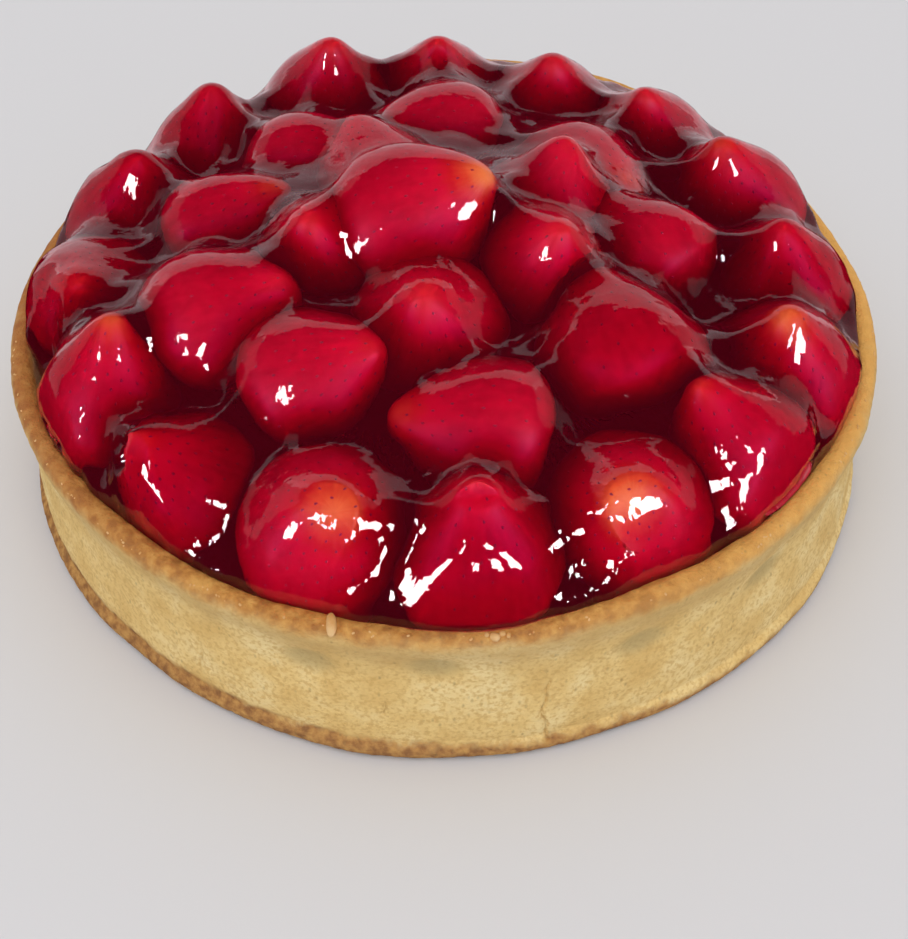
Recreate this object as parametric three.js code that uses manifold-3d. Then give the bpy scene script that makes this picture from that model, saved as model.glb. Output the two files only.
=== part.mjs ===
// A whole strawberry tart, nine inches across: a shortcrust pastry case, filled to the rim with
// red jelly that holds a heap of whole strawberries. Sixteen berries stand in a ring along the
// rim, nine lie in a second ring on their shoulders, and six crown the middle.
//
// Units are millimetres and +Z is up. The origin is the middle of the flat underside of the case,
// and -Y is the front. Bearings are degrees from +X, counterclockwise as seen from above.

import * as THREE from 'three';
import Module from 'manifold-3d';

const wasm = await Module();
wasm.setup();

// ---- Driving dimensions ----
const CASE_RADIUS = 115;
const CASE_HEIGHT = 47;
const RIM_INNER_RADIUS = 108;
const FLOOR_LEVEL = 29;
const CASE_SIDES = 104;

const JELLY_RIM_LEVEL = 45;
const JELLY_CROWN_RISE = 28;
const JELLY_SIDES = 44;
const JELLY_RING_STEP = 10;
const JELLY_CLIMB = 4.5;
const JELLY_CLIMB_REACH = 5;

const BERRY_SIDES = 11;
const BERRY_RINGS = 6;
const BERRY_SHOULDER = 0.3;
const BERRY_STEM_FLAT = 0.5;
const BERRY_TIP_FULLNESS = 0.72;

const GAP = 0.3;

// ---- Shapes that several pieces share ----
const radians = THREE.MathUtils.degToRad;

// A closed solid from a stack of rings between two pole points. The rings run counterclockwise,
// each with the same number of points, from the bottom pole to the top one.
function ringedSolid(bottomPole, rings, topPole) {
  const sides = rings[0].length;
  const points = [bottomPole, ...rings.flat(), topPole];
  const triangles = [];
  const at = (ring, side) => 1 + ring * sides + (side % sides);
  const last = points.length - 1;
  for (let side = 0; side < sides; side += 1) {
    triangles.push(0, at(0, side + 1), at(0, side));
    for (let ring = 0; ring + 1 < rings.length; ring += 1) {
      triangles.push(at(ring, side), at(ring, side + 1), at(ring + 1, side + 1));
      triangles.push(at(ring, side), at(ring + 1, side + 1), at(ring + 1, side));
    }
    triangles.push(last, at(rings.length - 1, side), at(rings.length - 1, side + 1));
  }
  const geometry = new THREE.BufferGeometry();
  const coordinates = points.flatMap((point) => point.toArray());
  geometry.setAttribute('position', new THREE.Float32BufferAttribute(coordinates, 3));
  geometry.setIndex(triangles);
  return geometry;
}

function toSolid(geometry) {
  return new wasm.Manifold(new wasm.Mesh({
    numProp: 3,
    vertProperties: new Float32Array(geometry.getAttribute('position').array),
    triVerts: new Uint32Array(geometry.getIndex().array),
  }));
}

function toGeometry(solid) {
  const cut = solid.getMesh();
  const geometry = new THREE.BufferGeometry();
  geometry.setAttribute('position', new THREE.BufferAttribute(cut.vertProperties, 3));
  geometry.setIndex(new THREE.BufferAttribute(cut.triVerts, 1));
  return geometry;
}

// The largest body of a solid, without the loose scraps that a cut leaves.
function mainBody(solid) {
  const bodies = solid.decompose();
  return bodies.reduce((best, body) => (body.volume() > best.volume() ? body : best));
}

// ---- The pastry case ----
// The case isn't quite round: it was pressed into its ring by hand.
function outOfRound(angle) {
  return 1 - 0.010 * Math.cos(2 * angle) + 0.002 * Math.sin(2 * angle)
    - 0.009 * Math.cos(3 * angle) - 0.010 * Math.sin(3 * angle)
    + 0.007 * Math.cos(4 * angle) - 0.006 * Math.sin(4 * angle);
}

// The rim rises and falls a little as it goes round.
function rimWave(angle) {
  return 0.5 * Math.sin(5 * angle + 0.6) + 0.35 * Math.sin(11 * angle + 2.1);
}

// The section of the case from the toe, up the outer wall, over the rim and down to the floor:
// how far each line stands in from the case radius, its height, and how much it follows the rim.
const CASE_SECTION = [
  { inset: 2.2, height: 0, wave: 0 },
  { inset: 0.5, height: 1.2, wave: 0 },
  { inset: 0, height: 3.6, wave: 0 },
  { inset: 1.6, height: 5.4, wave: 0 },
  { inset: 0.9, height: 8, wave: 0 },
  { inset: 1.4, height: 15, wave: 0 },
  { inset: 2.1, height: 23, wave: 0.2 },
  { inset: 2.3, height: 30, wave: 0.3 },
  { inset: 1.9, height: 36, wave: 0.5 },
  { inset: 0.6, height: 40.8, wave: 0.8 },
  { inset: 0, height: 43.8, wave: 1 },
  { inset: 1.0, height: 46.2, wave: 1 },
  { inset: 3.4, height: CASE_HEIGHT, wave: 1 },
  { inset: 5.9, height: 46.2, wave: 1 },
  { inset: CASE_RADIUS - RIM_INNER_RADIUS, height: 43.6, wave: 1 },
  { inset: 9.4, height: FLOOR_LEVEL, wave: 0 },
];

// Shallow hollows that fingers left in the outer wall.
const FINGER_DENTS = [
  { bearing: -107, height: 31, wide: 18, tall: 9, depth: 1.0 },
  { bearing: -92, height: 33, wide: 17, tall: 9, depth: 1.3 },
  { bearing: -67, height: 30, wide: 18, tall: 12, depth: 1.0 },
  { bearing: -48, height: 29, wide: 20, tall: 14, depth: 0.9 },
  { bearing: 24, height: 31, wide: 18, tall: 10, depth: 1.0 },
  { bearing: 71, height: 28, wide: 20, tall: 9, depth: 0.9 },
  { bearing: 118, height: 32, wide: 17, tall: 10, depth: 1.1 },
  { bearing: 163, height: 30, wide: 19, tall: 11, depth: 0.9 },
  { bearing: -158, height: 27, wide: 16, tall: 9, depth: 0.8 },
];

// How far the outer wall is pressed in at a bearing and height.
function dentDepth(angle, height) {
  let depth = 0;
  for (const dent of FINGER_DENTS) {
    const turn = Math.atan2(Math.sin(angle - radians(dent.bearing)), Math.cos(angle - radians(dent.bearing)));
    const across = (turn * CASE_RADIUS) / (dent.wide / 2);
    const up = (height - dent.height) / (dent.tall / 2);
    depth += dent.depth * Math.exp(-(across * across + up * up));
  }
  return depth;
}

// The ledge over the toe comes and goes, where the wall met the base disc more or less closely.
function toeSpread(angle, height) {
  const nearToe = Math.exp(-(((height - 2.5) / 2.5) ** 2));
  return nearToe * (0.35 * Math.sin(7 * angle + 1.3) + 0.3 * Math.sin(17 * angle));
}

function casePoint(line, angle) {
  const outer = line.inset < 3;
  const relief = outer ? toeSpread(angle, line.height) - dentDepth(angle, line.height) : 0;
  const radius = (CASE_RADIUS - line.inset) * outOfRound(angle) + relief;
  const height = line.height + line.wave * rimWave(angle);
  return new THREE.Vector3(radius * Math.cos(angle), radius * Math.sin(angle), height);
}

function ringAngles(sides) {
  return Array.from({ length: sides }, (unused, side) => (side / sides) * 2 * Math.PI);
}

function pastryCase() {
  const rings = CASE_SECTION.map((line) => (
    ringAngles(CASE_SIDES).map((angle) => casePoint(line, angle))
  ));
  const underside = new THREE.Vector3(0, 0, 0);
  const floor = new THREE.Vector3(0, 0, FLOOR_LEVEL);
  return ringedSolid(underside, rings, floor);
}

// ---- The strawberries ----
// Each berry is given by where its widest part lies (bearing, distance from the middle, height),
// how far its tip leans from straight up and towards which bearing, its length and its width.
const RIM_BERRIES = [
  { bearing: -108, distance: 89, height: 51, lean: 30, towards: -72, length: 40, width: 35 },
  { bearing: -86, distance: 90, height: 51, lean: 6, towards: -100, length: 38, width: 33 },
  { bearing: -64, distance: 89, height: 50, lean: 34, towards: -90, length: 40, width: 34 },
  { bearing: -44, distance: 91, height: 50, lean: 24, towards: 172, length: 41, width: 33 },
  { bearing: -24, distance: 90, height: 50, lean: 10, towards: -120, length: 38, width: 33 },
  { bearing: -2, distance: 89, height: 49, lean: 8, towards: -125, length: 36, width: 33 },
  { bearing: 22, distance: 86, height: 49, lean: 18, towards: -153, length: 38, width: 33 },
  { bearing: 46, distance: 86, height: 48, lean: 20, towards: -119, length: 37, width: 31 },
  { bearing: 68, distance: 84, height: 49, lean: 16, towards: -88, length: 36, width: 32 },
  { bearing: 90, distance: 89, height: 49, lean: 20, towards: -94, length: 38, width: 30 },
  { bearing: 112, distance: 89, height: 50, lean: 15, towards: -60, length: 40, width: 33 },
  { bearing: 138, distance: 88, height: 49, lean: 8, towards: 30, length: 36, width: 33 },
  { bearing: 160, distance: 89, height: 49, lean: 12, towards: -30, length: 38, width: 33 },
  { bearing: -178, distance: 90, height: 49, lean: 38, towards: -86, length: 38, width: 33 },
  { bearing: -154, distance: 91, height: 50, lean: 9, towards: 35, length: 40, width: 34 },
  { bearing: -131, distance: 88, height: 49, lean: 34, towards: -172, length: 37, width: 33 },
];

const SHOULDER_BERRIES = [
  { bearing: -81, distance: 63, height: 61, lean: 68, towards: 180, length: 39, width: 36 },
  { bearing: -123, distance: 57, height: 60, lean: 50, towards: -8, length: 38, width: 33 },
  { bearing: -154, distance: 61, height: 61, lean: 52, towards: 2, length: 40, width: 37 },
  { bearing: 169, distance: 61, height: 59, lean: 54, towards: 2, length: 38, width: 30 },
  { bearing: 134, distance: 58, height: 58, lean: 52, towards: -30, length: 38, width: 33 },
  { bearing: 87, distance: 55, height: 56, lean: 62, towards: 196, length: 38, width: 33 },
  { bearing: 42, distance: 54, height: 59, lean: 64, towards: -56, length: 40, width: 33 },
  { bearing: -7, distance: 55, height: 60, lean: 78, towards: 134, length: 40, width: 32 },
  { bearing: -46, distance: 60, height: 61, lean: 60, towards: 102, length: 42, width: 39 },
];

const CROWN_BERRIES = [
  { bearing: -150, distance: 8, height: 74, lean: 50, towards: -8, length: 42, width: 37 },
  { bearing: 128, distance: 28, height: 65, lean: 56, towards: 108, length: 34, width: 28 },
  { bearing: 18, distance: 29, height: 65, lean: 20, towards: 60, length: 34, width: 29 },
  { bearing: -30, distance: 28, height: 65, lean: 22, towards: -60, length: 34, width: 29 },
  { bearing: -90, distance: 32, height: 64, lean: 20, towards: -92, length: 34, width: 31 },
  { bearing: -168, distance: 29, height: 65, lean: 26, towards: -125, length: 34, width: 28 },
];

// The half width of a berry, as a share of its greatest, from the stem end (0) to the tip (1):
// a rounded shoulder round the flat where the hull was, then a full cone to a blunt tip.
function berryProfile(along) {
  if (along < BERRY_SHOULDER) {
    const below = 1 - along / BERRY_SHOULDER;
    return BERRY_STEM_FLAT + (1 - BERRY_STEM_FLAT) * Math.sqrt(1 - below * below);
  }
  const beyond = (along - BERRY_SHOULDER) / (1 - BERRY_SHOULDER);
  return Math.cos((Math.PI / 2) * beyond) ** BERRY_TIP_FULLNESS;
}

// A berry standing on its stem end, with its widest part at the origin, grown all round by a
// margin. No two berries are pressed alike: each is a little wider one way than the other.
function berryGeometry(berry, order, margin) {
  const halfWidth = berry.width / 2 + margin;
  const length = berry.length + 2 * margin;
  const squash = 0.05 * Math.sin(order * 2.3 + 0.7);
  const turn = order * 1.1;
  const rings = Array.from({ length: BERRY_RINGS }, (unused, ring) => {
    const along = 1 - ((BERRY_RINGS - ring) / (BERRY_RINGS + 0.4)) ** 1.15;
    const radius = halfWidth * berryProfile(along);
    return ringAngles(BERRY_SIDES).map((angle) => {
      const reach = radius * (1 + squash * Math.cos(2 * (angle - turn)));
      const height = (along - BERRY_SHOULDER) * length;
      return new THREE.Vector3(reach * Math.cos(angle), reach * Math.sin(angle), height);
    });
  });
  const stem = new THREE.Vector3(0, 0, -BERRY_SHOULDER * length);
  const tip = new THREE.Vector3(0, 0, (1 - BERRY_SHOULDER) * length);
  return ringedSolid(stem, rings, tip);
}

function berryPlace(berry) {
  const bearing = radians(berry.bearing);
  const towards = radians(berry.towards);
  const lean = radians(berry.lean);
  const axis = new THREE.Vector3(
    Math.sin(lean) * Math.cos(towards),
    Math.sin(lean) * Math.sin(towards),
    Math.cos(lean),
  );
  const centre = new THREE.Vector3(
    berry.distance * Math.cos(bearing),
    berry.distance * Math.sin(bearing),
    berry.height,
  );
  const upright = new THREE.Vector3(0, 0, 1);
  const turned = new THREE.Quaternion().setFromUnitVectors(upright, axis);
  return new THREE.Matrix4().compose(centre, turned, new THREE.Vector3(1, 1, 1));
}

function berrySolid(berry, order, margin) {
  return toSolid(berryGeometry(berry, order, margin).applyMatrix4(berryPlace(berry)));
}

// ---- The jelly ----
// The jelly fills the case from its floor and is drawn up between the berries as a low dome.
function jellyDome(distance) {
  const share = 1 - (distance / RIM_INNER_RADIUS) ** 2;
  return JELLY_RIM_LEVEL + JELLY_CROWN_RISE * Math.max(0, share) ** 2;
}

// Its skin climbs where it meets the side of a berry.
function jellyLevel(x, y, berries) {
  const level = jellyDome(Math.hypot(x, y));
  let nearness = 0;
  for (const berry of berries) {
    const bearing = radians(berry.bearing);
    const away = Math.hypot(x - berry.distance * Math.cos(bearing), y - berry.distance * Math.sin(bearing));
    const outside = Math.max(0, away - berry.width / 2) / JELLY_CLIMB_REACH;
    nearness = Math.max(nearness, Math.exp(-outside * outside));
  }
  const edge = Math.min(1, (RIM_INNER_RADIUS - Math.hypot(x, y)) / JELLY_RING_STEP);
  return level + JELLY_CLIMB * nearness * Math.max(0, edge);
}

function jellyBody(berries) {
  const insetLines = CASE_SECTION.slice(-2).reverse();
  const wallRings = insetLines.map((line) => ringAngles(JELLY_SIDES).map((angle) => {
    const point = casePoint(line, angle);
    const radius = Math.hypot(point.x, point.y) - GAP;
    const height = line.height === FLOOR_LEVEL ? FLOOR_LEVEL + GAP : point.z;
    return new THREE.Vector3(radius * Math.cos(angle), radius * Math.sin(angle), height);
  }));
  const skinRings = [];
  for (let distance = RIM_INNER_RADIUS - JELLY_RING_STEP / 2; distance > 4; distance -= JELLY_RING_STEP) {
    skinRings.push(ringAngles(JELLY_SIDES).map((angle) => {
      const radius = distance * outOfRound(angle);
      const x = radius * Math.cos(angle);
      const y = radius * Math.sin(angle);
      return new THREE.Vector3(x, y, jellyLevel(x, y, berries));
    }));
  }
  const bottom = new THREE.Vector3(0, 0, FLOOR_LEVEL + GAP);
  const top = new THREE.Vector3(0, 0, jellyLevel(0, 0, berries));
  return toSolid(ringedSolid(bottom, [...wallRings, ...skinRings], top));
}

// ---- The tart, put together ----
const crustFinish = new THREE.MeshStandardMaterial({ color: '#d9b774', roughness: 0.85, metalness: 0 });
const berryFinish = new THREE.MeshStandardMaterial({ color: '#c3121f', roughness: 0.25, metalness: 0 });
const jellyFinish = new THREE.MeshStandardMaterial({ color: '#7a0a1c', roughness: 0.1, metalness: 0 });

const tart = new THREE.Group();

function addPiece(name, geometry, finish) {
  const piece = new THREE.Mesh(geometry, finish);
  piece.name = name;
  tart.add(piece);
}

addPiece('crust', pastryCase(), crustFinish);

// The shoulder berries keep their whole form, the crown rests among them, and the berries along
// the rim were pushed in last, so each later berry gives way where it would press into one before.
const berries = [
  ...SHOULDER_BERRIES.map((berry, place) => ({ ...berry, number: 17 + place })),
  ...RIM_BERRIES.map((berry, place) => ({ ...berry, number: 1 + place })),
  ...CROWN_BERRIES.map((berry, place) => ({ ...berry, number: 26 + place })),
];
let jelly = jellyBody(berries);
let taken = null;
for (const berry of berries) {
  const whole = berrySolid(berry, berry.number, 0);
  const fitted = taken === null ? whole : mainBody(whole.subtract(taken));
  addPiece(`strawberry_${String(berry.number).padStart(2, '0')}`, toGeometry(fitted), berryFinish);
  const grown = berrySolid(berry, berry.number, GAP);
  taken = taken === null ? grown : taken.add(grown);
}
jelly = mainBody(jelly.subtract(taken));
addPiece('jelly', toGeometry(jelly), jellyFinish);

export default tart;
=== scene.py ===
# A whole strawberry tart, dressed piece by piece over its solids: the pastry case, the
# thirty-one strawberries heaped in it, the clear red jelly that holds and coats them, and the
# crumbs on the rim. Everything is in metres, +Z up, with the front of the tart towards -Y.

import math
import random

import bpy
from mathutils import Matrix, Vector, noise
from mathutils.bvhtree import BVHTree


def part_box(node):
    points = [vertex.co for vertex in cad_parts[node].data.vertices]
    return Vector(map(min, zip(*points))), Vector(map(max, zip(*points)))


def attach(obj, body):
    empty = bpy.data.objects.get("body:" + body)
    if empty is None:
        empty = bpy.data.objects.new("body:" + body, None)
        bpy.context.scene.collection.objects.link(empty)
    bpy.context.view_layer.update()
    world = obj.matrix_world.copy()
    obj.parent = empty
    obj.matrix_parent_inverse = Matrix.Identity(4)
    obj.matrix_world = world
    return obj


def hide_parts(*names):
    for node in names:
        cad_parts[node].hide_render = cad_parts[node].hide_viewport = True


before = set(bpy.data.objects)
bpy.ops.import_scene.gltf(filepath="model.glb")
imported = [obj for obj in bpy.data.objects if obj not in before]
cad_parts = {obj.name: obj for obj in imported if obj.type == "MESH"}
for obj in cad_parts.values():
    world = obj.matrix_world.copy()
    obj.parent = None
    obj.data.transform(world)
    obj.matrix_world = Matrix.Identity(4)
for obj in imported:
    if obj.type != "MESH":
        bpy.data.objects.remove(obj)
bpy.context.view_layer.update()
scene = bpy.context.scene
MM = 0.001


# ---- The camera ----
# A long lens at arm's length, which looks down on the front of the tart and is swung and tilted
# a hair.
CAMERA_PLACE = Vector((0.0, -328.2, 326.8)) * MM
CAMERA_DOWN = 46.63
CAMERA_SWING = 0.32
CAMERA_ROLL = -0.94
CAMERA_LENS = 61.34

bpy.ops.object.camera_add()
camera = bpy.context.object
camera.name = "camera"
camera.data.lens = CAMERA_LENS
camera.data.dof.use_dof = False
camera.matrix_world = (
    Matrix.Translation(CAMERA_PLACE)
    @ Matrix.Rotation(math.radians(-CAMERA_SWING), 4, "Z")
    @ Matrix.Rotation(math.radians(90 - CAMERA_DOWN), 4, "X")
    @ Matrix.Rotation(math.radians(CAMERA_ROLL), 4, "Z")
)
scene.camera = camera


# ---- The pastry case ----
# Shortcrust, pressed by hand into a deep plain ring on a base disc and baked until the rim
# toasted. The wall is matt, pale and finely pored, with a seam where it meets the disc.
WELD = 0.02 * MM
# How large the swells and the grain of the wall are, and how far they stand out.
SWELL_SIZE, SWELL_HEIGHT = 14 * MM, 0.35 * MM
GRAIN_SIZE, GRAIN_HEIGHT, FINE_GRAIN_HEIGHT = 2.4 * MM, 0.14 * MM, 0.08 * MM
FINE_GRAIN = 0.4
PORE_SPACING = 3.4 * MM
PORE_WIDTH = 0.34
PORE_DEPTH = 0.3 * MM
SEAM_LEVEL = 5.2 * MM
SEAM_WANDER, SEAM_RAGGED = 1.3 * MM, 0.5 * MM
SEAM_WAVES = 9
SEAM_DEPTH = 0.55 * MM
SEAM_LIP = 0.25 * MM
OUTER_BAND = 9 * MM
# The cracks in the wall: bearing in degrees, then foot, head, width and depth in millimetres.
CRACKS = (
    (-79, 5, 27, 0.55, 1.1), (-122, 14, 25, 0.4, 0.7), (-98, 17, 23, 0.4, 0.6), (-115, 12, 16, 0.4, 0.5))
CRACK_SPREAD = 2.5 * MM
CRACK_BAND = 15 * MM
# How far the cracks wander sideways, and over what height, in millimetres.
CRACK_WANDERS = ((0.7, 3.1), (0.4, 1.3))
# The finger dents, dimples with painted olive-grey shade: bearing in degrees, height in millimetres.
DENT_MARKS = ((-107, 31), (-92, 34), (-67, 30), (-48, 30))
DENT_REACH = 7 * MM
DENT_TALL = 4.4 * MM
DENT_DEPTH = 0.6 * MM


def alone(piece):
    """Leaves one object selected and active, as an operator needs it."""
    bpy.ops.object.select_all(action="DESELECT")
    piece.select_set(True)
    bpy.context.view_layer.objects.active = piece


def copy_of_solid(node, name):
    """A piece of its own from a solid's surface, with the loose triangles joined up as quads."""
    piece = bpy.data.objects.new(name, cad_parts[node].data.copy())
    scene.collection.objects.link(piece)
    piece.data.materials.clear()
    alone(piece)
    bpy.ops.object.mode_set(mode="EDIT")
    bpy.ops.mesh.select_all(action="SELECT")
    bpy.ops.mesh.remove_doubles(threshold=WELD)
    bpy.ops.mesh.tris_convert_to_quads(face_threshold=math.radians(50), shape_threshold=math.radians(60))
    bpy.ops.object.mode_set(mode="OBJECT")
    return piece


def finish_with(piece, kind, **settings):
    """Adds a modifier to a piece and applies it."""
    alone(piece)
    modifier = piece.modifiers.new(kind.title(), kind)
    for setting, value in settings.items():
        setattr(modifier, setting, value)
    bpy.ops.object.modifier_apply(modifier=modifier.name)


def select_faces(piece, wanted):
    """Selects the faces whose middle passes a test, and leaves the piece in edit mode."""
    alone(piece)
    bpy.ops.object.mode_set(mode="EDIT")
    bpy.ops.mesh.select_mode(type="FACE")
    bpy.ops.mesh.select_all(action="DESELECT")
    bpy.ops.object.mode_set(mode="OBJECT")
    for face in piece.data.polygons:
        face.select = wanted(face.center)
    bpy.ops.object.mode_set(mode="EDIT")


def smoothstep(low, high, value):
    """A smooth rise from 0 at low to 1 at high."""
    share = min(1, max(0, (value - low) / (high - low)))
    return share * share * (3 - 2 * share)


def round_from(place, bearing):
    """The distance round the case, in metres, from a bearing in degrees to a place."""
    away = math.atan2(place.y, place.x) - math.radians(bearing)
    away = (away + math.pi) % (2 * math.pi) - math.pi
    return away * place.xy.length


case_low, case_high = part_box("crust")
CASE_RADIUS = (case_high.x - case_low.x + case_high.y - case_low.y) / 4

pastry_case = copy_of_solid("crust", "pastry_case")
finish_with(pastry_case, "SUBSURF", levels=1, render_levels=1)
select_faces(pastry_case, lambda middle: middle.xy.length > CASE_RADIUS - OUTER_BAND and middle.z > 0.8 * MM)
bpy.ops.mesh.subdivide(number_cuts=2, smoothness=0.6)
bpy.ops.object.mode_set(mode="OBJECT")


def near_crack(middle):
    """Whether a face is close enough to a crack to need finer faces."""
    if middle.xy.length < CASE_RADIUS - CRACK_BAND:
        return False
    return any(
        abs(round_from(middle, bearing)) < CRACK_SPREAD and foot - 2 < middle.z / MM < head + 2
        for bearing, foot, head, width, depth in CRACKS)


select_faces(pastry_case, near_crack)
bpy.ops.mesh.subdivide(number_cuts=2)
bpy.ops.object.mode_set(mode="OBJECT")


def crack_depth(place):
    """How deep the cracks are at a place: hair lines that wander down the wall."""
    deepest = 0
    wander = sum(far * MM * math.sin(place.z / (over * MM)) for far, over in CRACK_WANDERS)
    for bearing, foot, head, width, depth in CRACKS:
        across = abs(round_from(place, bearing) - wander) / (width * MM)
        if across < 1:
            high = place.z / MM
            along = smoothstep(head, head - 4, high) * smoothstep(foot - 2, foot, high)
            deepest = max(deepest, depth * MM * along * (1 - across))
    return deepest


def seam_level(place):
    """The height of the ragged seam over the base disc, which wanders round the case."""
    slow, quick = noise.noise(place.normalized() * SEAM_WAVES), noise.noise(place / (4 * MM))
    return SEAM_LEVEL + SEAM_WANDER * slow + SEAM_RAGGED * quick


def dent_mark(place):
    """How much of a finger dent is at a place, from 0 to 1, for its depth and for its painted shade."""
    if place.xy.length < CASE_RADIUS - OUTER_BAND:
        return 0
    strongest = 0
    for bearing, high in DENT_MARKS:
        across = round_from(place, bearing) / DENT_REACH
        up = (place.z - high * MM) / DENT_TALL
        strongest = max(strongest, math.exp(-(across ** 2 + up ** 2) ** 1.5))
    return strongest


def pastry_relief(place):
    """How far the baked surface stands out from its plain form."""
    if place.xy.length < CASE_RADIUS - OUTER_BAND or place.z < 0.3 * MM:
        return 0
    swell = SWELL_HEIGHT * noise.noise(place / SWELL_SIZE)
    grain = GRAIN_HEIGHT * noise.noise(place / GRAIN_SIZE)
    grain += FINE_GRAIN_HEIGHT * noise.noise(place / (GRAIN_SIZE * FINE_GRAIN))
    nearest = noise.voronoi(place / PORE_SPACING)[0][0]
    pore = PORE_DEPTH * max(0, 1 - nearest / PORE_WIDTH)
    over_seam = place.z - seam_level(place)
    ledge = SEAM_DEPTH * smoothstep(0.9 * MM, 0, over_seam)
    step = ledge - SEAM_LIP * math.exp(-(over_seam / (0.8 * MM)) ** 2)
    return swell + grain - pore + step - crack_depth(place) - DENT_DEPTH * dent_mark(place)


def shape_surface(piece, how_far):
    """Moves each vertex out along its normal by a distance worked out from its place."""
    normals = [vertex.normal.copy() for vertex in piece.data.vertices]
    places = [vertex.co.copy() for vertex in piece.data.vertices]
    moved = [place + normal * how_far(place) for place, normal in zip(places, normals)]
    piece.data.vertices.foreach_set("co", [value for place in moved for value in place])
    piece.data.update()


def mark_surface(piece, name, value_at):
    """Keeps a number for each vertex, worked out from its place, for a material to read."""
    marks = piece.data.attributes.new(name, "FLOAT", "POINT")
    marks.data.foreach_set("value", [value_at(vertex.co) for vertex in piece.data.vertices])


shape_surface(pastry_case, pastry_relief)
mark_surface(pastry_case, "dent", dent_mark)
alone(pastry_case)
bpy.ops.object.shade_smooth()


def linear(hex_colour):
    """An sRGB hex colour as linear red, green, blue and alpha."""
    channels = [int(hex_colour[i:i + 2], 16) / 255 for i in (1, 3, 5)]
    return (*[c / 12.92 if c <= 0.04045 else ((c + 0.055) / 1.055) ** 2.4 for c in channels], 1)


def add_node(tree, kind, settings=None, inputs=None, stops=None):
    """Adds a node with its settings, its input values or links, and a ramp's stops."""
    made = tree.nodes.new(kind)
    for setting, value in (settings or {}).items():
        setattr(made, setting, value)
    for name, value in (inputs or {}).items():
        if isinstance(value, bpy.types.NodeSocket):
            tree.links.new(value, made.inputs[name])
        else:
            made.inputs[name].default_value = value
    for place, (where, colour) in enumerate(stops or []):
        stop = made.color_ramp.elements[place] if place < 2 else made.color_ramp.elements.new(where)
        stop.position, stop.color = where, colour
    return made


def new_material(name):
    """An empty node material of that name, with its tree."""
    material = bpy.data.materials.new(name)
    material.use_nodes = True
    material.node_tree.nodes.clear()
    return material, material.node_tree


def eased(tree, value, low, high, share=1.0):
    """A smooth rise from 0 at low to a share at high."""
    return add_node(tree, "ShaderNodeMapRange", {"interpolation_type": "SMOOTHSTEP"}, {
        "Value": value, "From Min": low, "From Max": high, "To Max": share}).outputs["Result"]


def tinted(tree, share, under, over):
    """One colour laid over another by a share."""
    return add_node(tree, "ShaderNodeMix", {"data_type": "RGBA"}, {
        "Factor": share, "A": under, "B": over}).outputs["Result"]


def grain_of(tree, where, size, detail=3.0):
    """A soft noise whose lumps are a size across."""
    return add_node(tree, "ShaderNodeTexNoise", None, {
        "Vector": where, "Scale": 1 / size, "Detail": detail}).outputs["Fac"]


def sum_of(tree, first, times, then):
    """A value times a number, plus another value."""
    return add_node(tree, "ShaderNodeMath", {"operation": "MULTIPLY_ADD"}, {
        0: first, 1: times, 2: then}).outputs[0]


# Baked shortcrust: dry flour and butter, IOR near 1.45, with no shine. The wall stays pale where
# the ring shielded it, browns at the rim and along the foot, and is darker and greener under the rim.
PASTRY_ROUGHNESS = 0.82
shortcrust, tree = new_material("baked_shortcrust")
where = add_node(tree, "ShaderNodeTexCoord").outputs["Object"]
apart = add_node(tree, "ShaderNodeSeparateXYZ", None, {"Vector": where})
height = apart.outputs["Z"]
dough = add_node(tree, "ShaderNodeValToRGB", None, {"Fac": grain_of(tree, where, 12 * MM, 4.0)}, [
    (0.32, linear("#dfb970")), (0.68, linear("#f1d89b")), (0.5, linear("#e9c882"))]).outputs["Color"]
sandy = eased(tree, grain_of(tree, where, 1.1 * MM, 4.0), 0.44, 0.66, 0.7)
dough = tinted(tree, sandy, dough, linear("#cfa760"))
ragged = sum_of(tree, grain_of(tree, where, 5 * MM), 5 * MM, height)
# Darker and greener towards the top of the wall, just under the rim.
cloudy = sum_of(tree, grain_of(tree, where, 16 * MM), 16 * MM, height)
dough = tinted(tree, eased(tree, cloudy, 38 * MM, 52 * MM, 0.6), dough, linear("#c8a365"))
rim_crust = add_node(tree, "ShaderNodeValToRGB", None, {"Fac": grain_of(tree, where, 3 * MM, 5.0)}, [
    (0.36, linear("#a66c30")), (0.66, linear("#d29c50")), (0.5, linear("#bf843d"))]).outputs["Color"]
browner = eased(tree, apart.outputs["X"], -50 * MM, -118 * MM, 0.6)
rim_crust = tinted(tree, browner, rim_crust, linear("#9c5a2c"))
golden = eased(tree, apart.outputs["X"], 10 * MM, 100 * MM, 0.75)
rim_crust = tinted(tree, golden, rim_crust, linear("#e6ae5a"))
dough = tinted(tree, eased(tree, ragged, 44.8 * MM, 48.6 * MM), dough, rim_crust)
foot_crust = add_node(tree, "ShaderNodeValToRGB", None, {"Fac": grain_of(tree, where, 2.2 * MM, 5.0)}, [
    (0.36, linear("#8f5f2e")), (0.66, linear("#c2924e")), (0.5, linear("#ad7a3e"))]).outputs["Color"]
foot_line = sum_of(tree, apart.outputs["X"], 0.03, ragged)
dough = tinted(tree, eased(tree, foot_line, 9.4 * MM, 6.6 * MM), dough, foot_crust)
scorched = sum_of(tree, grain_of(tree, where, 3.2 * MM, 4.0), 9 * MM, height)
dough = tinted(tree, eased(tree, scorched, 6.0 * MM, 4.0 * MM, 0.8), dough, linear("#5c4127"))
slits = add_node(tree, "ShaderNodeMapping", None, {"Vector": where, "Scale": (1.0, 1.0, 0.55)})
pores = add_node(tree, "ShaderNodeTexVoronoi", None, {
    "Vector": slits.outputs["Vector"], "Scale": 1 / (2.1 * MM)})
flecks = add_node(tree, "ShaderNodeMapRange", None, {
    "Value": pores.outputs["Distance"], "From Min": 0.06, "From Max": 0.24, "To Min": 0.45, "To Max": 0.0})
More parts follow.
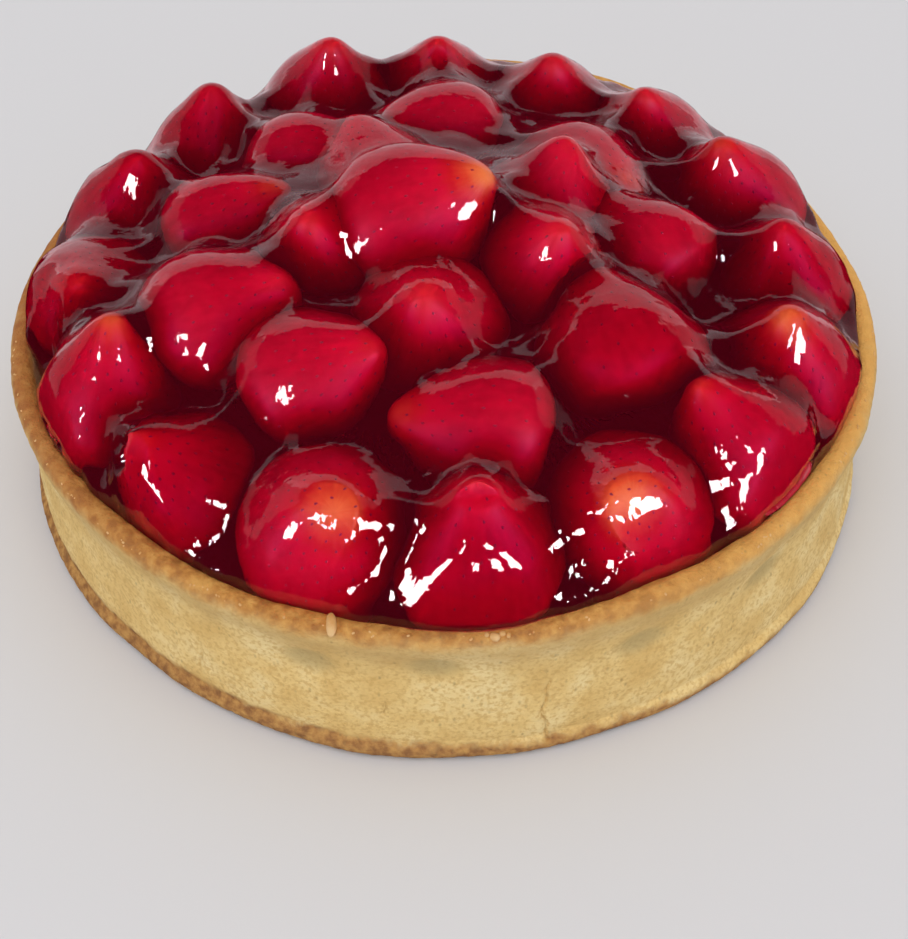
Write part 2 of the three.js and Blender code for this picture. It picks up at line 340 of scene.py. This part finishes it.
open_parts = eased(tree, grain_of(tree, where, 7 * MM), 0.42, 0.62)
flecks = add_node(tree, "ShaderNodeMath", {"operation": "MULTIPLY"}, {
    0: flecks.outputs["Result"], 1: open_parts}).outputs[0]
dough = tinted(tree, flecks, dough, linear("#8d7040"))
# Painted shade in the finger dents: the wall turns olive-grey where it is pressed in.
pressed = add_node(tree, "ShaderNodeAttribute", {"attribute_name": "dent"}).outputs["Fac"]
dough = tinted(tree, eased(tree, pressed, 0.0, 1.1, 0.6), dough, linear("#ab9766"))
across = add_node(tree, "ShaderNodeVectorMath", {"operation": "LENGTH"}, {
    0: add_node(tree, "ShaderNodeCombineXYZ", None, {
        "X": apart.outputs["X"], "Y": apart.outputs["Y"]}).outputs["Vector"]}).outputs["Value"]
inside = eased(tree, across, CASE_RADIUS - 5.5 * MM, CASE_RADIUS - 7 * MM, 0.7)
inside = add_node(tree, "ShaderNodeMath", {"operation": "MULTIPLY"}, {
    0: inside, 1: eased(tree, height, 45.2 * MM, 43.6 * MM)}).outputs[0]
dough = tinted(tree, inside, dough, linear("#d3a47e"))
grit = sum_of(tree, grain_of(tree, where, 0.7 * MM, 5.0), 1.0, grain_of(tree, where, 2.4 * MM, 3.0))
bump = add_node(tree, "ShaderNodeBump", None, {"Strength": 1.0, "Distance": 0.4 * MM, "Height": grit})
surface = add_node(tree, "ShaderNodeBsdfPrincipled", None, {
    "Base Color": dough, "Roughness": PASTRY_ROUGHNESS, "IOR": 1.45,
    "Specular IOR Level": 0.2, "Normal": bump.outputs["Normal"]})
add_node(tree, "ShaderNodeOutputMaterial", None, {"Surface": surface.outputs["BSDF"]})

pastry_case.data.materials.append(shortcrust)
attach(pastry_case, "root")
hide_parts("crust")


# ---- The strawberries ----
# Whole berries with their hulls taken off, pressed into the heap tips up or lying on their
# sides. Each is red to the shoulder, paler towards the tip, and set all over with small seeds.
COAT = 1.4 * MM
COAT_STANDS_OUT = 1.0 * MM
# The berries that lie deeper under the jelly than the rest, in millimetres.
DEEP_COATS = {2: 2.0, 4: 2.0, 6: 2.2, 12: 2.2, 13: 2.6, 14: 2.6, 15: 1.8, 16: 3.2, 25: 2.4}
# How far the tip of each berry leans from upright, and towards which bearing, in degrees: along
# the rim from the front left, round the shoulder, then on the crown.
LEANS = (
    (30, -72), (6, -100), (34, -90), (24, 172), (10, -120), (8, -125), (18, -153), (20, -119),
    (16, -88), (20, -94), (15, -60), (8, 30), (12, -30), (38, -86), (9, 35), (34, -172),
    (68, 180), (50, -8), (52, 2), (54, 2), (52, -30), (62, 196), (64, -56), (78, 134), (60, 102),
    (50, -8), (56, 108), (20, 60), (22, -60), (20, -92), (26, -125))
RIM_SLIMMER, RIM_LONGER = 0.24, 1.8 * MM
HEAP_SLIMMER, HEAP_LONGER = 0.1, 0.4 * MM
RIM_BERRIES = 16
RIM_PUSH = 2.4 * MM
RIM_FLARE, HEAP_FLARE = 0.14, 0.06
# How far right, back and up the jelly carried some of the berries as it was poured, in
# millimetres, and the share by which each of them is wider than its solid.
SETTLED = {
    2: (0, -2, -1, 0.12), 4: (2, -1, 0, 0.06), 6: (-3, 0, 0, 0.1), 15: (1, -2, 0, 0.06),
    16: (0, -2, -1, 0.06), 17: (1, -4, -3, 0.1), 18: (-3, -1, 0, 0.1), 19: (-3, -1, -1, 0.1),
    21: (3, -2, -1, 0.12), 22: (0, -2, 2, 0.14), 23: (-4, -3, -2, 0.1), 25: (0, -3, -2, 0.16),
    26: (-3, 0, 0, 0.12), 27: (0, 0, 0, 0.14), 28: (0, 0, 0, 0.16), 29: (0, 0, 0, 0.22),
    30: (-4, -2, -1, 0.32), 31: (0, 0, 0, 0.22)}
GROWN_ELSEWHERE = 0.08
# Where the berries and the jelly meet the inside of the wall, and how they round down to its rim.
WALL_FOOT, WALL_HEAD = 38 * MM, 45.4 * MM
WALL_GIVES = 0.8 * MM
NEAR_WALL = 20 * MM
BERRY_CLEARS_WALL = 0.5 * MM
RIM_LEVEL = 47.4 * MM
DOME_SPAN = 14 * MM
DOME_RISE = 27 * MM
DOME_FOOT = 6 * MM
# How pale the tip of each berry stayed, from 0, red all over, to 1.
PALE_TIPS = {1: 0.66, 3: 0.78, 4: 0.4, 5: 0.6, 7: 0.35, 14: 0.4, 15: 0.5, 16: 0.45, 17: 0.5, 20: 0.6, 23: 0.6,
             24: 0.5, 26: 0.85}
PALE_TIP_ELSEWHERE = 0.2
PALE_REACH = 9 * MM
TIP_STANDS_OUT = 0.4 * MM
LUMP_SIZE, LUMP_HEIGHT = 11 * MM, 0.5 * MM
STREAKS_ROUND = 9
STREAK_LENGTH = 9 * MM
# The seeds follow a spiral from the tip, and its first three, which would crowd, are left out.
SEEDS_ON_A_BERRY, FIRST_SEED = 150, 3
SEED_TURN = math.radians(137.5)
SEED_SIZE = Vector((0.28, 0.48, 0.17)) * MM
CLEAR_OF_A_BERRY = 60 * MM

berry_skin, tree = new_material("strawberry_skin")
lengthwise = add_node(tree, "ShaderNodeAttribute", {"attribute_name": "lengthwise"}).outputs["Vector"]
paleness = add_node(tree, "ShaderNodeAttribute", {"attribute_name": "paleness"}).outputs["Fac"]
streaks = add_node(tree, "ShaderNodeTexNoise", None, {"Vector": lengthwise, "Scale": 1.0, "Detail": 4.0})
where = add_node(tree, "ShaderNodeTexCoord").outputs["Object"]
mixed = sum_of(tree, grain_of(tree, where, 2.2 * MM), 0.16, paleness)
mixed = sum_of(tree, streaks.outputs["Fac"], 0.16, mixed)
ripeness = add_node(tree, "ShaderNodeValToRGB", None, {"Fac": mixed}, [
    (0.1, linear("#aa0824")), (1.0, linear("#e6bb4a")), (0.24, linear("#cc1131")), (0.42, linear("#c42c1a")),
    (0.7, linear("#d06e26"))])
surface = add_node(tree, "ShaderNodeBsdfPrincipled", None, {
    "Base Color": ripeness.outputs["Color"], "Roughness": 0.45, "IOR": 1.4, "Specular IOR Level": 0.2})
add_node(tree, "ShaderNodeOutputMaterial", None, {"Surface": surface.outputs["BSDF"]})

seed_coat, tree = new_material("strawberry_seed")
where = add_node(tree, "ShaderNodeTexCoord").outputs["Object"]
seed_colour = add_node(tree, "ShaderNodeValToRGB", None, {"Fac": grain_of(tree, where, 8 * MM)}, [
    (0.38, linear("#720d1a")), (0.7, linear("#9c1c22"))])
surface = add_node(tree, "ShaderNodeBsdfPrincipled", None, {
    "Base Color": seed_colour.outputs["Color"], "Roughness": 0.5})
add_node(tree, "ShaderNodeOutputMaterial", None, {"Surface": surface.outputs["BSDF"]})

bpy.ops.object.select_all(action="DESELECT")
bpy.ops.mesh.primitive_uv_sphere_add(segments=6, ring_count=4, radius=1)
seed = bpy.context.object
for vertex in seed.data.vertices:
    vertex.co.x *= 1 - 0.35 * vertex.co.y
    vertex.co.z *= 1 - 0.2 * vertex.co.y
seed.data.polygons.foreach_set("use_smooth", [True] * len(seed.data.polygons))
seed.data.materials.append(berry_skin)
seed.data.materials.append(seed_coat)
seed.data.polygons.foreach_set("material_index", [1] * len(seed.data.polygons))


def tree_of(pieces):
    """The surfaces of some pieces, for finding the nearest place on them."""
    places, faces = [], []
    for piece in pieces:
        before = len(places)
        places.extend(vertex.co.copy() for vertex in piece.data.vertices)
        faces.extend([before + corner for corner in face.vertices] for face in piece.data.polygons)
    return BVHTree.FromPolygons(places, faces)


def join_all(pieces):
    """Joins pieces into the first of them."""
    bpy.ops.object.select_all(action="DESELECT")
    for piece in pieces:
        piece.select_set(True)
    bpy.context.view_layer.objects.active = pieces[0]
    bpy.ops.object.join()


def seeds_on(skin, middle, tip):
    """Seeds laid along a spiral from the tip, each lying lengthwise and half sunk in the skin."""
    axis = (tip - middle).normalized()
    side = axis.orthogonal().normalized()
    other = axis.cross(side)
    laid = []
    for number in range(FIRST_SEED, SEEDS_ON_A_BERRY):
        share = (number + 0.6) / SEEDS_ON_A_BERRY
        along = 1 - 1.85 * share ** 1.2
        wide = math.sqrt(1 - along * along)
        turn = number * SEED_TURN
        ray = axis * along + (side * math.cos(turn) + other * math.sin(turn)) * wide
        place, normal, face, distance = skin.ray_cast(middle + ray * CLEAR_OF_A_BERRY, -ray)
        if place is None:
            continue
        lying = axis - normal * axis.dot(normal)
        if lying.length < 0.05:
            lying = side - normal * side.dot(normal)
        lying.normalize()
        turned = Matrix((lying.cross(normal), lying, normal)).transposed().to_4x4()
        copied = bpy.data.objects.new("seed", seed.data.copy())
        scene.collection.objects.link(copied)
        copied.data.transform(Matrix.Translation(place) @ turned @ Matrix.Diagonal(SEED_SIZE).to_4x4())
        laid.append(copied)
    return laid


def axis_of(number):
    """The way a berry points, from its stem end to its tip."""
    lean, towards = (math.radians(angle) for angle in LEANS[number - 1])
    return Vector((math.sin(lean) * math.cos(towards), math.sin(lean) * math.sin(towards), math.cos(lean)))


def ends_of(piece, axis):
    """The middle of a berry, and its tip."""
    places = [vertex.co.copy() for vertex in piece.data.vertices]
    middle = sum(places, Vector()) / len(places)
    return middle, middle + axis * max((place - middle).dot(axis) for place in places)


def ripen(piece, number, axis):
    """Slims a berry to its tip, fills its shoulder out, and sets it where the jelly carried it."""
    middle, tip = ends_of(piece, axis)
    length = (tip - middle).length
    right, forward, up, grown = SETTLED.get(number, (0, 0, 0, GROWN_ELSEWHERE))
    carried = Vector((right, forward, up)) * MM
    flare, slimmer, longer = HEAP_FLARE, HEAP_SLIMMER, HEAP_LONGER
    if number <= RIM_BERRIES:
        carried += Vector((middle.x, middle.y, 0)).normalized() * RIM_PUSH
        flare, slimmer, longer = RIM_FLARE, RIM_SLIMMER, RIM_LONGER
    for vertex in piece.data.vertices:
        arm = vertex.co - middle
        along = arm.dot(axis)
        share = smoothstep(0, 1, along / length)
        wide = 1 + grown + flare * smoothstep(0.1, -0.5, along / length) - (slimmer + grown) * share
        vertex.co = middle + carried + (arm - axis * along) * wide + axis * (along + longer * share ** 3)
    piece.data.update()


crust_surface = tree_of([pastry_case])


def capped(value, limit, give):
    """A value held under a limit, with a soft shoulder."""
    return limit - give * math.log1p(math.exp(min(40, (limit - value) / give)))


def keep_in_case(piece, bite, lift):
    """Presses a piece softly against the inside of the wall, and rounds it down to the rim."""
    for vertex in piece.data.vertices:
        reach = vertex.co.xy.length
        if reach > CASE_RADIUS - NEAR_WALL:
            out = Vector((vertex.co.x, vertex.co.y, 0)).normalized()
            level = min(max(vertex.co.z, WALL_FOOT), WALL_HEAD)
            wall, normal, face, distance = crust_surface.ray_cast(Vector((0, 0, level)), out)
            limit = wall.xy.length + bite
            pressed = capped(reach, limit, WALL_GIVES)
            vertex.co.xy *= pressed / reach
            inward = min(1, (limit - pressed) / DOME_SPAN)
            dome = RIM_LEVEL + lift + DOME_RISE * math.sqrt(1 - (1 - inward) ** 2)
            if vertex.co.z > RIM_LEVEL - DOME_FOOT:
                vertex.co.z = capped(vertex.co.z, dome, WALL_GIVES)
    piece.data.update()


berries, coats = [], []
for node_name in sorted(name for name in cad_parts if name.startswith("strawberry_")):
    number = int(node_name[-2:])
    berry = copy_of_solid(node_name, f"berry_{number:02d}")
    finish_with(berry, "SUBSURF", levels=3, render_levels=3)
    axis = axis_of(number)
    ripen(berry, number, axis)
    keep_in_case(berry, -BERRY_CLEARS_WALL, -COAT)
    finish_with(berry, "SMOOTH", factor=0.5, iterations=6)
    coat = bpy.data.objects.new("coat", berry.data.copy())
    scene.collection.objects.link(coat)
    finish_with(coat, "DISPLACE", strength=COAT_STANDS_OUT, mid_level=0)
    coats.append(coat)
    sunk = COAT_STANDS_OUT - DEEP_COATS.get(number, COAT / MM) * MM
    middle, tip = ends_of(berry, axis)
    pale_tip = PALE_TIPS.get(number, PALE_TIP_ELSEWHERE)

    def paleness_at(place):
        """How pale the skin is, most of all at the tip."""
        return pale_tip * math.exp(-((place - tip).length / PALE_REACH) ** 2)

    def lumps_at(place):
        """How far the skin stands out, with its soft lumps and its firm tip."""
        lump = LUMP_HEIGHT * noise.noise(place / LUMP_SIZE)
        return sunk + lump + TIP_STANDS_OUT * paleness_at(place)

    shape_surface(berry, lumps_at)
    mark_surface(berry, "paleness", paleness_at)
    places = [vertex.co.copy() for vertex in berry.data.vertices]
    side = axis.orthogonal().normalized()
    lengthwise = berry.data.attributes.new("lengthwise", "FLOAT_VECTOR", "POINT")
    for place, streak in zip(places, lengthwise.data):
        arm = place - middle
        out = (arm - axis * arm.dot(axis)).normalized() * STREAKS_ROUND
        streak.vector = (out.dot(side), out.dot(axis.cross(side)), arm.dot(axis) / STREAK_LENGTH + 7 * number)
    alone(berry)
    bpy.ops.object.shade_smooth()
    berry.data.materials.append(berry_skin)
    berries.append(berry)

heap = tree_of(berries)
for berry in berries:
    middle, tip = ends_of(berry, axis_of(int(berry.name[-2:])))
    join_all([berry, *seeds_on(tree_of([berry]), middle, tip)])
    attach(berry, "root")
    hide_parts("strawberry_" + berry.name[-2:])
bpy.data.objects.remove(seed)


# ---- The jelly ----
# Clear red cake jelly, poured warm over the heap: a thin skin on the tips of the berries, deep and
# nearly black between them, and level with the rim of the case. It set in soft folds.
VOXEL = 1.25 * MM
HOLLOW_STEPS = 3
HOLLOW_STEP = 3.6 * MM
THINNEST_FILM = 0.7 * MM
DEEPEST_DIP = 3.2 * MM
DIPS_ABOVE = 50 * MM
POURED_LEVEL = 47.4 * MM
POURED_BEYOND = 12 * MM
TOP_ABOVE = 35 * MM
FOLDS_ABOVE = 34 * MM
FOLDS_FROM, FOLDS_FULL = 1.2 * MM, 4 * MM
JELLY_EDGE, EDGE_FADE = 100 * MM, 6 * MM
EDGE_FOOT, EDGE_HEAD = 40 * MM, 43 * MM
RING_FILL = 3.5 * MM
WALL_BITE = 0.6 * MM
FOLD_DEPTH = 1.2 * MM
FOLD_SIZE = 7 * MM
# Where the jelly ran over the rim, and where it drew back from the wall: bearing, half width in
# degrees, how far out and how far up in millimetres.
EDGE_RUNS = ((-86, 13, 1.8, 0.6), (-166, 5, -2.6, -3.5))

jelly_glaze = copy_of_solid("jelly", "jelly_glaze")
for vertex in jelly_glaze.data.vertices:
    reach = vertex.co.xy.length
    if vertex.co.z > TOP_ABOVE:
        vertex.co.z += RING_FILL
    if reach > JELLY_EDGE:
        vertex.co.z = POURED_LEVEL if vertex.co.z > TOP_ABOVE else vertex.co.z
        vertex.co.xy *= (reach + POURED_BEYOND) / reach
join_all([jelly_glaze, *coats])
finish_with(jelly_glaze, "REMESH", mode="VOXEL", voxel_size=VOXEL)
for step in range(HOLLOW_STEPS):
    finish_with(jelly_glaze, "DISPLACE", strength=HOLLOW_STEP, mid_level=0)
    finish_with(jelly_glaze, "REMESH", mode="VOXEL", voxel_size=VOXEL)
for step in range(HOLLOW_STEPS):
    finish_with(jelly_glaze, "SMOOTH", factor=0.5, iterations=3)
    finish_with(jelly_glaze, "DISPLACE", strength=-HOLLOW_STEP, mid_level=0)
    finish_with(jelly_glaze, "REMESH", mode="VOXEL", voxel_size=VOXEL)
finish_with(jelly_glaze, "SMOOTH", factor=0.5, iterations=4)
keep_in_case(jelly_glaze, WALL_BITE, 0)


def jelly_place(place, normal):
    """Where a place on the set jelly ends up: folded in the hollows, and run out at the edge."""
    nearest, outward, face, distance = heap.find_nearest(place)
    dip = DEEPEST_DIP if place.z > DIPS_ABOVE else COAT
    below = distance < dip and (place - nearest).dot(outward) < 0
    if normal.z > -0.2 and place.z > FOLDS_ABOVE:
        depth = 0 if below else distance
        folded = FOLD_DEPTH * smoothstep(FOLDS_FROM, FOLDS_FULL, depth)
        hanging = Vector((place.x, place.y, place.z * 0.4))
        place = place + normal * folded * noise.noise(hanging / FOLD_SIZE)
    reach = place.xy.length
    if reach > JELLY_EDGE:
        out = Vector((place.x, place.y, 0)).normalized()
        near_edge = smoothstep(JELLY_EDGE, JELLY_EDGE + EDGE_FADE, reach)
        near_edge *= smoothstep(EDGE_FOOT, EDGE_HEAD, place.z)
        for bearing, half_width, far, up in EDGE_RUNS:
            share = math.exp(-(round_from(place, bearing) / math.radians(half_width) / reach) ** 2)
            place = place + (out * far + Vector((0, 0, up))) * MM * share * near_edge
    if below or distance < THINNEST_FILM:
        place = nearest + outward * THINNEST_FILM
    return place


normals = [vertex.normal.copy() for vertex in jelly_glaze.data.vertices]
places = [vertex.co.copy() for vertex in jelly_glaze.data.vertices]
moved = [jelly_place(place, normal) for place, normal in zip(places, normals)]
jelly_glaze.data.vertices.foreach_set("co", [value for place in moved for value in place])
jelly_glaze.data.update()
finish_with(jelly_glaze, "SMOOTH", factor=0.5, iterations=4)
alone(jelly_glaze)
bpy.ops.object.shade_smooth()

# Set cake jelly: mostly water, sugar and a gelling starch, IOR near 1.4, glossy and wet, with a
# little cloudiness of its own so that its deepest parts stay dark red.
JELLY_CLOUD = 0.13
cake_jelly, tree = new_material("red_cake_jelly")
where = add_node(tree, "ShaderNodeTexCoord").outputs["Object"]
runs = add_node(tree, "ShaderNodeMapping", None, {
    "Vector": where, "Scale": (1.0, 1.0, 0.4)}).outputs["Vector"]
ripple = sum_of(tree, grain_of(tree, runs, 1.6 * MM, 1.0), 0.32, grain_of(tree, runs, 5.5 * MM, 1.0))
bump = add_node(tree, "ShaderNodeBump", None, {"Strength": 0.4, "Distance": 0.5 * MM, "Height": ripple})
clear = add_node(tree, "ShaderNodeBsdfPrincipled", None, {
    "Base Color": linear("#ffffff"), "Roughness": 0.01, "IOR": 1.4, "Transmission Weight": 1.0,
    "Normal": bump.outputs["Normal"]})
cloud = add_node(tree, "ShaderNodeBsdfDiffuse", None, {"Color": linear("#ae1234")})
cloudy = add_node(tree, "ShaderNodeMixShader", None, {
    "Fac": JELLY_CLOUD, 1: clear.outputs["BSDF"], 2: cloud.outputs["BSDF"]})
passing = add_node(tree, "ShaderNodeBsdfTransparent")
ray = add_node(tree, "ShaderNodeLightPath").outputs["Is Shadow Ray"]
mixed = add_node(tree, "ShaderNodeMixShader", None, {
    "Fac": ray, 1: cloudy.outputs["Shader"], 2: passing.outputs["BSDF"]})
body = add_node(tree, "ShaderNodeVolumeAbsorption", None, {"Color": (0.88, 0.0, 0.64, 1), "Density": 650.0})
add_node(tree, "ShaderNodeOutputMaterial", None, {
    "Surface": mixed.outputs["Shader"], "Volume": body.outputs["Volume"]})
jelly_glaze.data.materials.clear()
jelly_glaze.data.materials.append(cake_jelly)
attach(jelly_glaze, "root")
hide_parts("jelly")


# ---- The crumbs ----
# Flakes that lifted along the outer edge of the rim as it baked, a few loose crumbs, and one pale
# sliver of dough that lies across the rim at the front.
random.seed(4)
RIM_FLAKES = 90
FLAKE_SIZE = Vector((0.21, 0.14, 0.08)) * MM
FLAKES_WITHIN = 2.2 * MM
FLAKES_FROM, FLAKES_TO = -175, 10
# The loose crumbs: bearing in degrees, how far in from the edge and how wide in millimetres.
LOOSE_CRUMBS = ((-85.2, 1.2, 0.9), (-84.4, 2.0, 0.6), (-86.0, 2.2, 0.5), (-83.6, 0.9, 0.5))
SLIVER_SIZE = Vector((2.3, 0.9, 0.6)) * MM
SLIVER_BEARING, SLIVER_IN, SLIVER_TURN = -103.6, 2.6 * MM, 122

pale_crumb, tree = new_material("pale_pastry_crumb")
where = add_node(tree, "ShaderNodeTexCoord").outputs["Object"]
crumb_colour = add_node(tree, "ShaderNodeValToRGB", None, {"Fac": grain_of(tree, where, 4 * MM)}, [
    (0.35, linear("#cf9a55")), (0.65, linear("#dfb67c"))])
surface = add_node(tree, "ShaderNodeBsdfPrincipled", None, {
    "Base Color": crumb_colour.outputs["Color"], "Roughness": 0.7, "IOR": 1.45, "Specular IOR Level": 0.3})
add_node(tree, "ShaderNodeOutputMaterial", None, {"Surface": surface.outputs["BSDF"]})

bpy.ops.object.select_all(action="DESELECT")
bpy.ops.mesh.primitive_cube_add(size=2)
chip = bpy.context.object
bpy.ops.object.mode_set(mode="EDIT")
bpy.ops.mesh.subdivide(number_cuts=1, smoothness=0.8)
bpy.ops.object.mode_set(mode="OBJECT")


def chip_at(bearing, reach, size, spin):
    """A chip that lies on the pastry at a bearing and a distance from the middle."""
    along = math.radians(bearing)
    above = Vector((math.cos(along) * reach, math.sin(along) * reach, case_high.z))
    place, normal, face, distance = crust_surface.find_nearest(above)
    copied = bpy.data.objects.new("chip", chip.data.copy())
    scene.collection.objects.link(copied)
    for vertex in copied.data.vertices:
        vertex.co *= 1 + 0.45 * noise.noise(vertex.co * 1.3 + Vector((bearing, reach * 1000, 0)))
    tilt = normal.to_track_quat("Z", "Y").to_matrix().to_4x4() @ Matrix.Rotation(spin, 4, "Z")
    copied.data.transform(Matrix.Translation(place) @ tilt @ Matrix.Diagonal(size).to_4x4())
    return copied


flakes = []
for number in range(RIM_FLAKES):
    bearing = random.uniform(FLAKES_FROM, FLAKES_TO)
    reach = CASE_RADIUS - random.uniform(0.0, FLAKES_WITHIN)
    size = FLAKE_SIZE * random.uniform(0.6, 1.5)
    flakes.append(chip_at(bearing, reach, size, random.uniform(0, math.pi)))
for bearing, inward, wide in LOOSE_CRUMBS:
    crumb_size = Vector((wide, wide * 0.8, wide * 0.7)) * MM
    flakes.append(chip_at(bearing, CASE_RADIUS - inward * MM, crumb_size, bearing))
sliver = chip_at(SLIVER_BEARING, CASE_RADIUS - SLIVER_IN, SLIVER_SIZE, math.radians(SLIVER_TURN))
join_all([sliver, *flakes])
sliver.name = "rim_crumbs"
sliver.data.materials.clear()
sliver.data.materials.append(pale_crumb)
finish_with(sliver, "SUBSURF", levels=1, render_levels=1)
alone(sliver)
bpy.ops.object.shade_smooth()
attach(sliver, "root")
bpy.data.objects.remove(chip)


# ---- The floor and the light ----
# A pale matt floor, an even white sky and a broad soft lamp that don't mirror in the jelly, and
# six small windows in front and pale walls at the back and sides that do.
FLOOR_REACH = 3.0
PLAIN, ROSY = (1.0, 1.0, 1.0), (1.0, 0.84, 0.88)
WINDOW_AWAY, WINDOW_GLARE = 1.6, 48
WALL_AWAY = 2.0
# The windows and the walls: name, then bearing and height above the horizon in degrees, width
# and height in metres, and for a wall how bright it is.
WINDOWS = (
    ("window_left", -142, 12, 0.32, 0.56), ("window_front", -87, 9, 0.26, 0.3),
    ("window_beside", -66, 12, 0.26, 0.3), ("window_right", -40, 16, 0.45, 0.5),
    ("window_high_left", -128, 34, 0.22, 0.3), ("window_high_right", -62, 36, 0.28, 0.22))
WALLS = (
    ("wall_behind", 90, 5, 3.6, 2.4, 0.9), ("wall_left", 150, 8, 1.6, 1.6, 0.45),
    ("wall_right", 30, 8, 1.6, 1.6, 0.45))
bpy.ops.mesh.primitive_plane_add(size=FLOOR_REACH, location=(0, 0, -0.01 * MM))
floor = bpy.context.object
floor.name = "pale_floor"
floor.visible_glossy = False
paper, tree = new_material("pale_paper")
surface = add_node(tree, "ShaderNodeBsdfPrincipled", None, {
    "Base Color": linear("#d7d7da"), "Roughness": 1.0, "Specular IOR Level": 0.0})
add_node(tree, "ShaderNodeOutputMaterial", None, {"Surface": surface.outputs["BSDF"]})
floor.data.materials.append(paper)

world = bpy.data.worlds.new("studio")
world.use_nodes = True
world.node_tree.nodes["Background"].inputs["Color"].default_value = linear("#fdfbfa")
world.node_tree.nodes["Background"].inputs["Strength"].default_value = 0.84
world.cycles_visibility.glossy = False
scene.world = world


def softbox(name, bearing, rise, distance, width, tall, brightness, tint):
    """A rectangular lamp that mirrors in the jelly, from a bearing and a height above the horizon."""
    across, up = math.radians(bearing), math.radians(rise)
    place = Vector((math.cos(across) * math.cos(up), math.sin(across) * math.cos(up), math.sin(up)))
    place *= distance
    bpy.ops.object.light_add(type="AREA", location=place)
    lamp = bpy.context.object
    lamp.name = name
    lamp.data.shape = "RECTANGLE"
    lamp.data.size, lamp.data.size_y = width, tall
    lamp.data.energy = brightness * math.pi * width * tall
    lamp.rotation_euler = (-place).to_track_quat("-Z", "Y").to_euler()
    lamp.visible_diffuse = False
    lamp.visible_transmission = False
    lamp.data.color = tint
    return lamp


daylight = softbox("daylight", -100, 60, 2.0, 1.6, 1.6, 1.3, PLAIN)
daylight.visible_diffuse = True
daylight.visible_glossy = False
for name, bearing, rise, width, tall in WINDOWS:
    softbox(name, bearing, rise, WINDOW_AWAY, width, tall, WINDOW_GLARE, PLAIN)
for name, bearing, rise, width, tall, brightness in WALLS:
    softbox(name, bearing, rise, WALL_AWAY, width, tall, brightness, ROSY)

scene.view_settings.view_transform = "Standard"
scene.cycles.use_denoising = True
